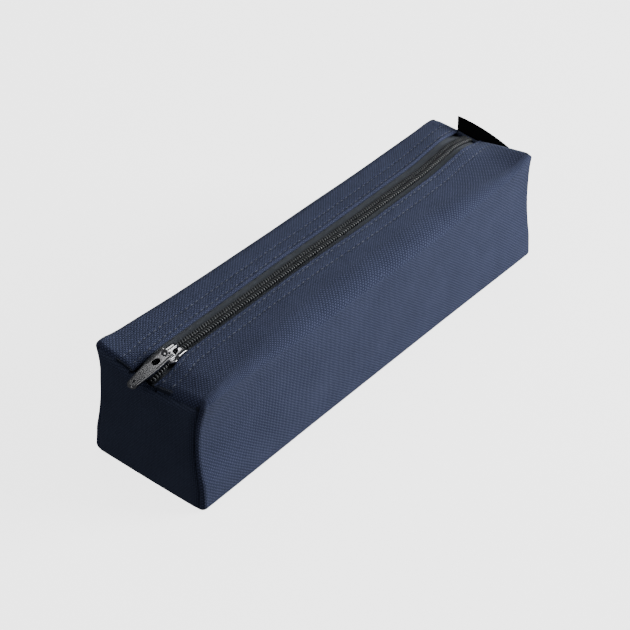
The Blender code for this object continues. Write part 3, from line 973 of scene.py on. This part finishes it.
def topstitching(side_name, side, row_name, offset, end, thread):
    """One row of topstitching beside the zip, over one half of the case."""
    low, high = stretch(end, -97.5 * MM, 97.5 * MM)
    obj = stitch_mesh(f"{side_name}_{row_name}_stitches_{end}_half")
    count = int((high - low) / STITCH_PITCH)
    repeat_along(obj, count, STITCH_PITCH)
    for vert in obj.data.vertices:
        x = vert.co.x + low + STITCH_PITCH / 2
        wander = 0.12 * MM * noise.noise(Vector((x * 300, offset * 900, side)))
        start = side * zip_side(x) + mouth_half(x, side)
        crest = HALF_WIDTH - fold_width(x, side)
        share = (offset + wander - HEM_ROLL) / (crest - start - HEM_ROLL)
        x_place = clamp(x, -ROLL_START * 1.035, ROLL_START * 1.035)
        on_cloth = cloth_point(x_place, side, 2 + clamp(share, 0.01, 0.99))
        vert.co = Vector((x, on_cloth.y + vert.co.y, on_cloth.z + vert.co.z + 0.04 * MM))
    shade(obj, 60)
    obj.data.materials.append(thread)
    return finish_half(obj, side_name, end, "navy_thread", f"{side_name}_{row_name}_topstitch")


# The slider and its pull tag. Both are shaped along the chain, then laid onto its slope.

SLIDER_REAR, SLIDER_WAIST, SLIDER_SHOULDER, SLIDER_FRONT = -81.1 * MM, -84.5 * MM, -88.5 * MM, -90.9 * MM
TOP_PLATE = (1.3 * MM, 2.3 * MM)
LOWER_PLATE = (-3.0 * MM, -2.2 * MM)
TAG_AXIS = Vector((-87.5 * MM, 0.0, 3.0 * MM))
TAG_LENGTH = 19.6 * MM
TAG_DROOP = math.radians(8.5)


def lay_on_chain(obj):
    """From the chain's own directions to the case's."""
    along = (ZIP_FAR - ZIP_NEAR).normalized()
    across = Vector((0, 0, 1)).cross(along).normalized()
    turned = Matrix((along, across, along.cross(across))).transposed().to_4x4()
    middle = ZIP_NEAR + (ZIP_FAR - ZIP_NEAR) * (-ZIP_NEAR.x / (ZIP_FAR.x - ZIP_NEAR.x))
    obj.data.transform(Matrix.Translation(middle) @ turned)
    return obj


def shaped_block(name, place, edge, cuts=(12, 6, 2)):
    """A block with place() setting where each corner of its even grid goes, and its edges rounded off."""
    obj = add_piece(name, bpy.ops.mesh.primitive_cube_add, size=2)
    for axis, count in enumerate(cuts):
        direction = Vector((0, 0, 0))
        direction[axis] = 1
        for cut in range(1, count):
            spot = direction * (-1 + 2 * cut / count)
            edit_all(obj, lambda: bpy.ops.mesh.bisect(plane_co=spot, plane_no=direction))
    for vert in obj.data.vertices:
        vert.co = place(*vert.co)
    if edge:
        apply_modifier(obj, "BEVEL", width=edge, segments=3, limit_method="ANGLE", angle_limit=math.radians(50))
    shade(obj, 35)
    return obj


def slider_half(x):
    """Half the slider's width: narrow at the rear, wide over the parted coils, drawn in at the nose."""
    if x > SLIDER_WAIST:
        return mix(3.15, 3.0, (x - SLIDER_WAIST) / (SLIDER_REAR - SLIDER_WAIST)) * MM
    if x > SLIDER_SHOULDER:
        return mix(4.3, 3.15, ease((x - SLIDER_SHOULDER) / (SLIDER_WAIST - SLIDER_SHOULDER))) * MM
    return mix(2.7, 4.3, clamp((x - SLIDER_FRONT) / (SLIDER_SHOULDER - SLIDER_FRONT)) ** 0.6) * MM


def slider_plate(name, low, high, dome, edge):
    def place(a, b, c):
        x = mix(SLIDER_FRONT, SLIDER_REAR, (a + 1) / 2)
        # The rear end is drawn in between its two lobes, and the upper face falls off to its edges.
        x -= 0.7 * MM * clamp(a) ** 6 * (1 - abs(b))
        y = b * slider_half(x)
        fall = dome * (0.75 * abs(b) ** 2.5 + 0.25 * abs(a) ** 4)
        return Vector((x, y, mix(low, high - fall, (c + 1) / 2)))

    return shaped_block(name, place, edge)


def slider_wall(side):
    """The flange down one side, which holds the coils together."""
    def place(a, b, c):
        x = mix(SLIDER_SHOULDER, SLIDER_REAR - 0.3 * MM, (a + 1) / 2)
        y = side * (slider_half(x) - 0.45 * MM) + b * 0.3 * MM
        return Vector((x, y, mix(-0.9, 1.6, (c + 1) / 2) * MM))

    return shaped_block("slider_flange", place, 0.12 * MM, (10, 1, 1))


def slider_post():
    return settle_transform(add_piece("slider_post", bpy.ops.mesh.primitive_cylinder_add, vertices=20,
                                      radius=1.1 * MM, depth=4.2 * MM, location=(-88.8 * MM, 0, -0.5 * MM)))


def slider_crown():
    """The arched strap over the plate: up, along and down again, flat underneath and rounded on top."""
    rear, front, top = -83.1 * MM, -89.9 * MM, 4.7 * MM
    radius, foot, thick = 1.7 * MM, 1.9 * MM, 0.85 * MM
    centre, flat = (rear + front) / 2, (rear - front) / 2 - radius
    turn, leg = math.pi * radius / 2, top - radius - foot

    def middle_line(share):
        """The strap's middle, -1 at the front foot and 1 at the rear foot, and which way is outwards there."""
        way = math.copysign(1, share)
        run = abs(share) * (flat + turn + leg)
        if run < flat:
            return Vector((centre + way * run, 0, top)), Vector((0, 0, 1))
        if run < flat + turn:
            angle = (run - flat) / radius
            outwards = Vector((way * math.sin(angle), 0, math.cos(angle)))
            return Vector((centre + way * flat, 0, top - radius)) + outwards * radius, outwards
        down = run - flat - turn
        return Vector((centre + way * (flat + radius), 0, top - radius - down)), Vector((way, 0, 0))

    def place(a, b, c):
        point, outwards = middle_line(a)
        rise = 0.22 * MM * (1 - b * b) if c > 0 else -thick
        half = mix(1.05, 1.35, abs(a) ** 3) * MM
        return point + outwards * rise + Vector((0, b * half, 0))

    return shaped_block("slider_crown_strap", place, 0.16 * MM, (28, 4, 1))


def slider(metal):
    """Two plates, their flanges and post, and the crown strap that the tag hangs from."""
    body = slider_plate("slider_top_plate", *TOP_PLATE, dome=0.55 * MM, edge=0.22 * MM)
    lower = slider_plate("slider_lower_plate", *LOWER_PLATE, dome=0.0, edge=0.18 * MM)
    join_to(body, (lower, slider_wall(-1), slider_wall(1), slider_post()))
    lay_on_chain(body)
    finish_piece(body, "slider", metal, ["slider_body"])
    crown = lay_on_chain(slider_crown())
    finish_piece(crown, "slider", metal, ["slider_crown"])


def tag_half(x):
    """Half the tag's width from its axis (0) to its tip (1)."""
    share = x / TAG_LENGTH
    if share < 0.42:
        return 2.95 * MM
    taper = mix(2.95, 1.85, ((share - 0.42) / 0.58) ** 1.1) * MM
    rounding = clamp((share - 0.93) / 0.07)
    return taper * math.sqrt(max(0.02, 1 - 0.75 * rounding ** 2))


def tag_plate(name, start, finish, low, high, inset, edge):
    """A slice of the tag: from start to finish along it, and this far inside its outline."""
    def place(a, b, c):
        x = mix(start, finish, (a + 1) / 2)
        return Vector((-x, b * (tag_half(x) - inset), high if c > 0 else low))

    return shaped_block(name, place, edge, (26, 4, 1))


def cut_away(obj, cutter):
    apply_modifier(obj, "BOOLEAN", operation="DIFFERENCE", solver="EXACT", object=cutter)
    bpy.data.objects.remove(cutter, do_unlink=True)
    return obj


def oval_cutter(centre, half_length, half_width):
    obj = add_piece("tag_hole_cutter", bpy.ops.mesh.primitive_cylinder_add, vertices=32, radius=1.0,
                    depth=6 * MM, location=(-centre, 0, 0))
    obj.scale = (half_length, half_width, 1.0)
    return settle_transform(obj)


TAG_UNDER, TAG_TOP, TAG_EDGE = -0.55 * MM, 0.75 * MM, 0.34 * MM
TAG_ROOT = -0.6 * MM
PANEL_START, PANEL_TO_TIP, RIM_WIDTH = 8.6 * MM, 3.6 * MM, 0.75 * MM
RIB_COUNT = 4
RIB_START = 9.7 * MM
RIB_PITCH = 1.2 * MM
SUNK_LEVEL = 0.30 * MM


def tag_rib(spot):
    """A fine plain rib across the sunk panel."""
    def place(a, b, c):
        half = tag_half(spot) - 1.15 * MM
        return Vector((-(spot + a * 0.22 * MM), b * half, mix(0.25, 0.52, (c + 1) / 2) * MM))

    return shaped_block("tag_rib", place, 0.06 * MM, (1, 1, 1))


def fork_cutter():
    """What opens the tag's root, between the two arms that hold its crossbar."""
    def place(a, b, c):
        return Vector((-(mix(-2, 4.2, (a + 1) / 2)) * MM, b * 1.45 * MM, c * 3 * MM))

    return shaped_block("tag_fork_cutter", place, 0.0, (1, 1, 1))


def pull_tag(metal, matt):
    """The tag: a tapered plate with a raised rim, a sunk ribbed panel, two oval holes and a forked root."""
    body = tag_plate("pull_tag", TAG_ROOT, TAG_LENGTH, TAG_UNDER, TAG_TOP, 0.0, TAG_EDGE)
    cut_away(body, tag_plate("tag_panel_cutter", PANEL_START, TAG_LENGTH - PANEL_TO_TIP, SUNK_LEVEL,
                             SUNK_LEVEL + 2.7 * MM, RIM_WIDTH, 0.0))
    cut_away(body, oval_cutter(TAG_LENGTH - 2.5 * MM, 0.62 * MM, 0.5 * MM))
    cut_away(body, oval_cutter(6.0 * MM, 1.75 * MM, 1.35 * MM))
    cut_away(body, fork_cutter())
    shade(body, 35)
    body.data.materials.clear()
    body.data.materials.append(metal)
    body.data.materials.append(matt)
    for face in body.data.polygons:
        if face.normal.z > 0.9 and abs(face.center.z - SUNK_LEVEL) < 0.02 * MM:
            face.material_index = 1
    parts = [tag_rib(RIB_START + index * RIB_PITCH) for index in range(RIB_COUNT)]
    crossbar = add_piece("tag_crossbar", bpy.ops.mesh.primitive_cylinder_add, vertices=20, radius=0.62 * MM,
                         depth=4.9 * MM, rotation=(math.radians(90), 0, 0))
    settle_transform(crossbar)
    parts.append(shade(crossbar, 40))
    join_to(body, parts)
    body.data.transform(Matrix.Translation(TAG_AXIS) @ Matrix.Rotation(-TAG_DROOP, 4, "Y"))
    lay_on_chain(body)
    finish_piece(body, "puller", metal, ["puller"])
    return body


# The ribbon tab.

def ribbon_tab(cloth):
    """A short ribbon folded in two, its ends sewn askew into the far seam, so that its fold slopes down."""
    low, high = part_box("ribbon_tab")
    half = (high.y - low.y) / 2
    middle_y = (high.y + low.y) / 2
    foot_x, foot_z = HALF_LENGTH + 0.2 * MM, low.z - 2.4 * MM
    gap = 0.5 * MM
    fold_top, fold_fall = 51.2 * MM, 5.4 * MM

    def place(u, v):
        share = clamp((1 - u / half) / 2)
        fold_z = fold_top - fold_fall * share ** 1.25
        lean = math.radians(3 + 12 * share)
        up = fold_z - foot_z
        if v < 1:
            along, out = v * (up - gap / 2), -gap / 2
        elif v < 2:
            turn = math.pi * (v - 1)
            along, out = up - gap / 2 + gap / 2 * math.sin(turn), -gap / 2 * math.cos(turn)
        else:
            along, out = (3 - v) * (up - gap / 2), gap / 2
        curl = 0.5 * MM * math.sin(math.pi * share) * along / up
        x = foot_x + along * math.sin(lean) + out * math.cos(lean) + curl
        z = foot_z + along * math.cos(lean) - out * math.sin(lean)
        return Vector((x, middle_y + u + 0.7 * MM * (along / up) * (1 - share), z))

    us = spaced(-half, half, 30)
    vs = spaced(0, 1, 8) + spaced(1, 2, 6)[1:] + spaced(2, 3, 8)[1:]
    rise = 8.6 * MM
    obj = lay_cloth("ribbon_tab_folded", us, vs, place, lambda u, v: (u, v * rise), 0.4 * MM, (cloth,),
                    flip=True)
    finish_piece(obj, "tab", cloth, ["ribbon_tab"])
    return obj


# The stage.

CAMERA_TURNS = (-51.80, 36.73, 0.88)
CAMERA_DISTANCE = 692.4 * MM
CAMERA_TARGET = Vector((-12.6, -3.5, 23.2)) * MM
CAMERA_LENS = 106.2

# The softboxes: name, place, side in metres, and watts. All of them face the case.
SOFTBOXES = (
    ("key_softbox", (0.60, -0.64, 0.30), 0.5, 13.5),
    ("top_softbox", (0.30, -0.20, 0.90), 0.5, 0.85),
    ("back_softbox", (0.40, 0.45, 0.68), 0.3, 0.9),
    ("end_softbox", (-0.90, 0.15, 0.55), 0.4, 1.3),
)
LIT_POINT = Vector((0, 0, 0.02))
WORLD_COLOUR = (0.9, 0.93, 1.0, 1.0)
WORLD_STRENGTH = 0.08
FLOOR_GLOW = 3.0


def camera():
    """The view from above the near front corner."""
    azimuth, elevation, roll = (math.radians(angle) for angle in CAMERA_TURNS)
    back = Vector((math.sin(azimuth) * math.cos(elevation), -math.cos(azimuth) * math.cos(elevation),
                   math.sin(elevation)))
    level = Vector((math.cos(azimuth), math.sin(azimuth), 0))
    upright = back.cross(level)
    right = level * math.cos(roll) + upright * math.sin(roll)
    up = upright * math.cos(roll) - level * math.sin(roll)
    data = bpy.data.cameras.new("camera")
    data.lens = CAMERA_LENS
    data.sensor_width = 36
    data.clip_start = 0.01
    data.clip_end = 20
    obj = bpy.data.objects.new("camera", data)
    bpy.context.scene.collection.objects.link(obj)
    turned = Matrix((right, up, back)).transposed().to_4x4()
    obj.matrix_world = Matrix.Translation(CAMERA_TARGET + back * CAMERA_DISTANCE) @ turned
    bpy.context.scene.camera = obj


def softbox(name, place, size, watts):
    data = bpy.data.lights.new(name, "AREA")
    data.shape = "RECTANGLE"
    data.size = data.size_y = size
    data.energy = watts
    obj = bpy.data.objects.new(name, data)
    bpy.context.scene.collection.objects.link(obj)
    obj.location = place
    obj.rotation_euler = (LIT_POINT - Vector(place)).to_track_quat("-Z", "Y").to_euler()


def floor():
    obj = add_piece("studio_floor", bpy.ops.mesh.primitive_plane_add, size=12)
    nodes = Nodes("pale_floor")
    place = nodes.object_place()
    tone = nodes.noise(place, 3, 2)
    nodes.base_colour(tone, (0.78, 0.78, 0.78), (0.80, 0.80, 0.80))
    nodes.set(Roughness=0.9, Emission_Color=(1.0, 1.0, 1.0), Emission_Strength=FLOOR_GLOW)
    obj.data.materials.append(nodes.material)
    obj.visible_diffuse = False
    obj.visible_glossy = False


def lights():
    for settings in SOFTBOXES:
        softbox(*settings)
    world = bpy.data.worlds.new("studio")
    world.use_nodes = True
    background = world.node_tree.nodes["Background"]
    background.inputs["Color"].default_value = WORLD_COLOUR
    background.inputs["Strength"].default_value = WORLD_STRENGTH
    bpy.context.scene.world = world


def build():
    cloth = cloth_named("navy_cloth")
    panel_cloth = cloth_named("navy_end_cloth")
    thread = sewing_thread("navy_sewing_thread", (0.050, 0.060, 0.092), (0.150, 0.170, 0.235))
    reverse = cloth_named("coated_reverse")
    pouch_wrap(cloth, reverse)
    binding = cloth_named("binding_tape")
    for name, end in (("near", -1), ("far", 1)):
        end_panel(f"{name}_panel_cloth", end, panel_cloth, reverse, f"{name}_end_panel")
        seam_binding(name, end, binding)
        seam_stitches(name, end, thread)
    nylon = coil_nylon()
    tape_cloth = cloth_named("zip_tape_weave")
    for side_name, side in (("front", -1), ("back", 1)):
        for end in ("near", "far"):
            pouch_lip(side_name, side, end, cloth, reverse)
            zip_tape(side_name, side, end, tape_cloth)
            coil_row(side_name, side, end, nylon)
            for row_name, offset in (("edge", STITCH_ROWS[0]), ("outer", STITCH_ROWS[1])):
                topstitching(side_name, side, row_name, offset, end, thread)
    ribbon_tab(cloth_named("black_ribbon"))
    metal = black_nickel()
    slider(metal)
    pull_tag(metal, matt_nickel())


build()
camera()
lights()
floor()
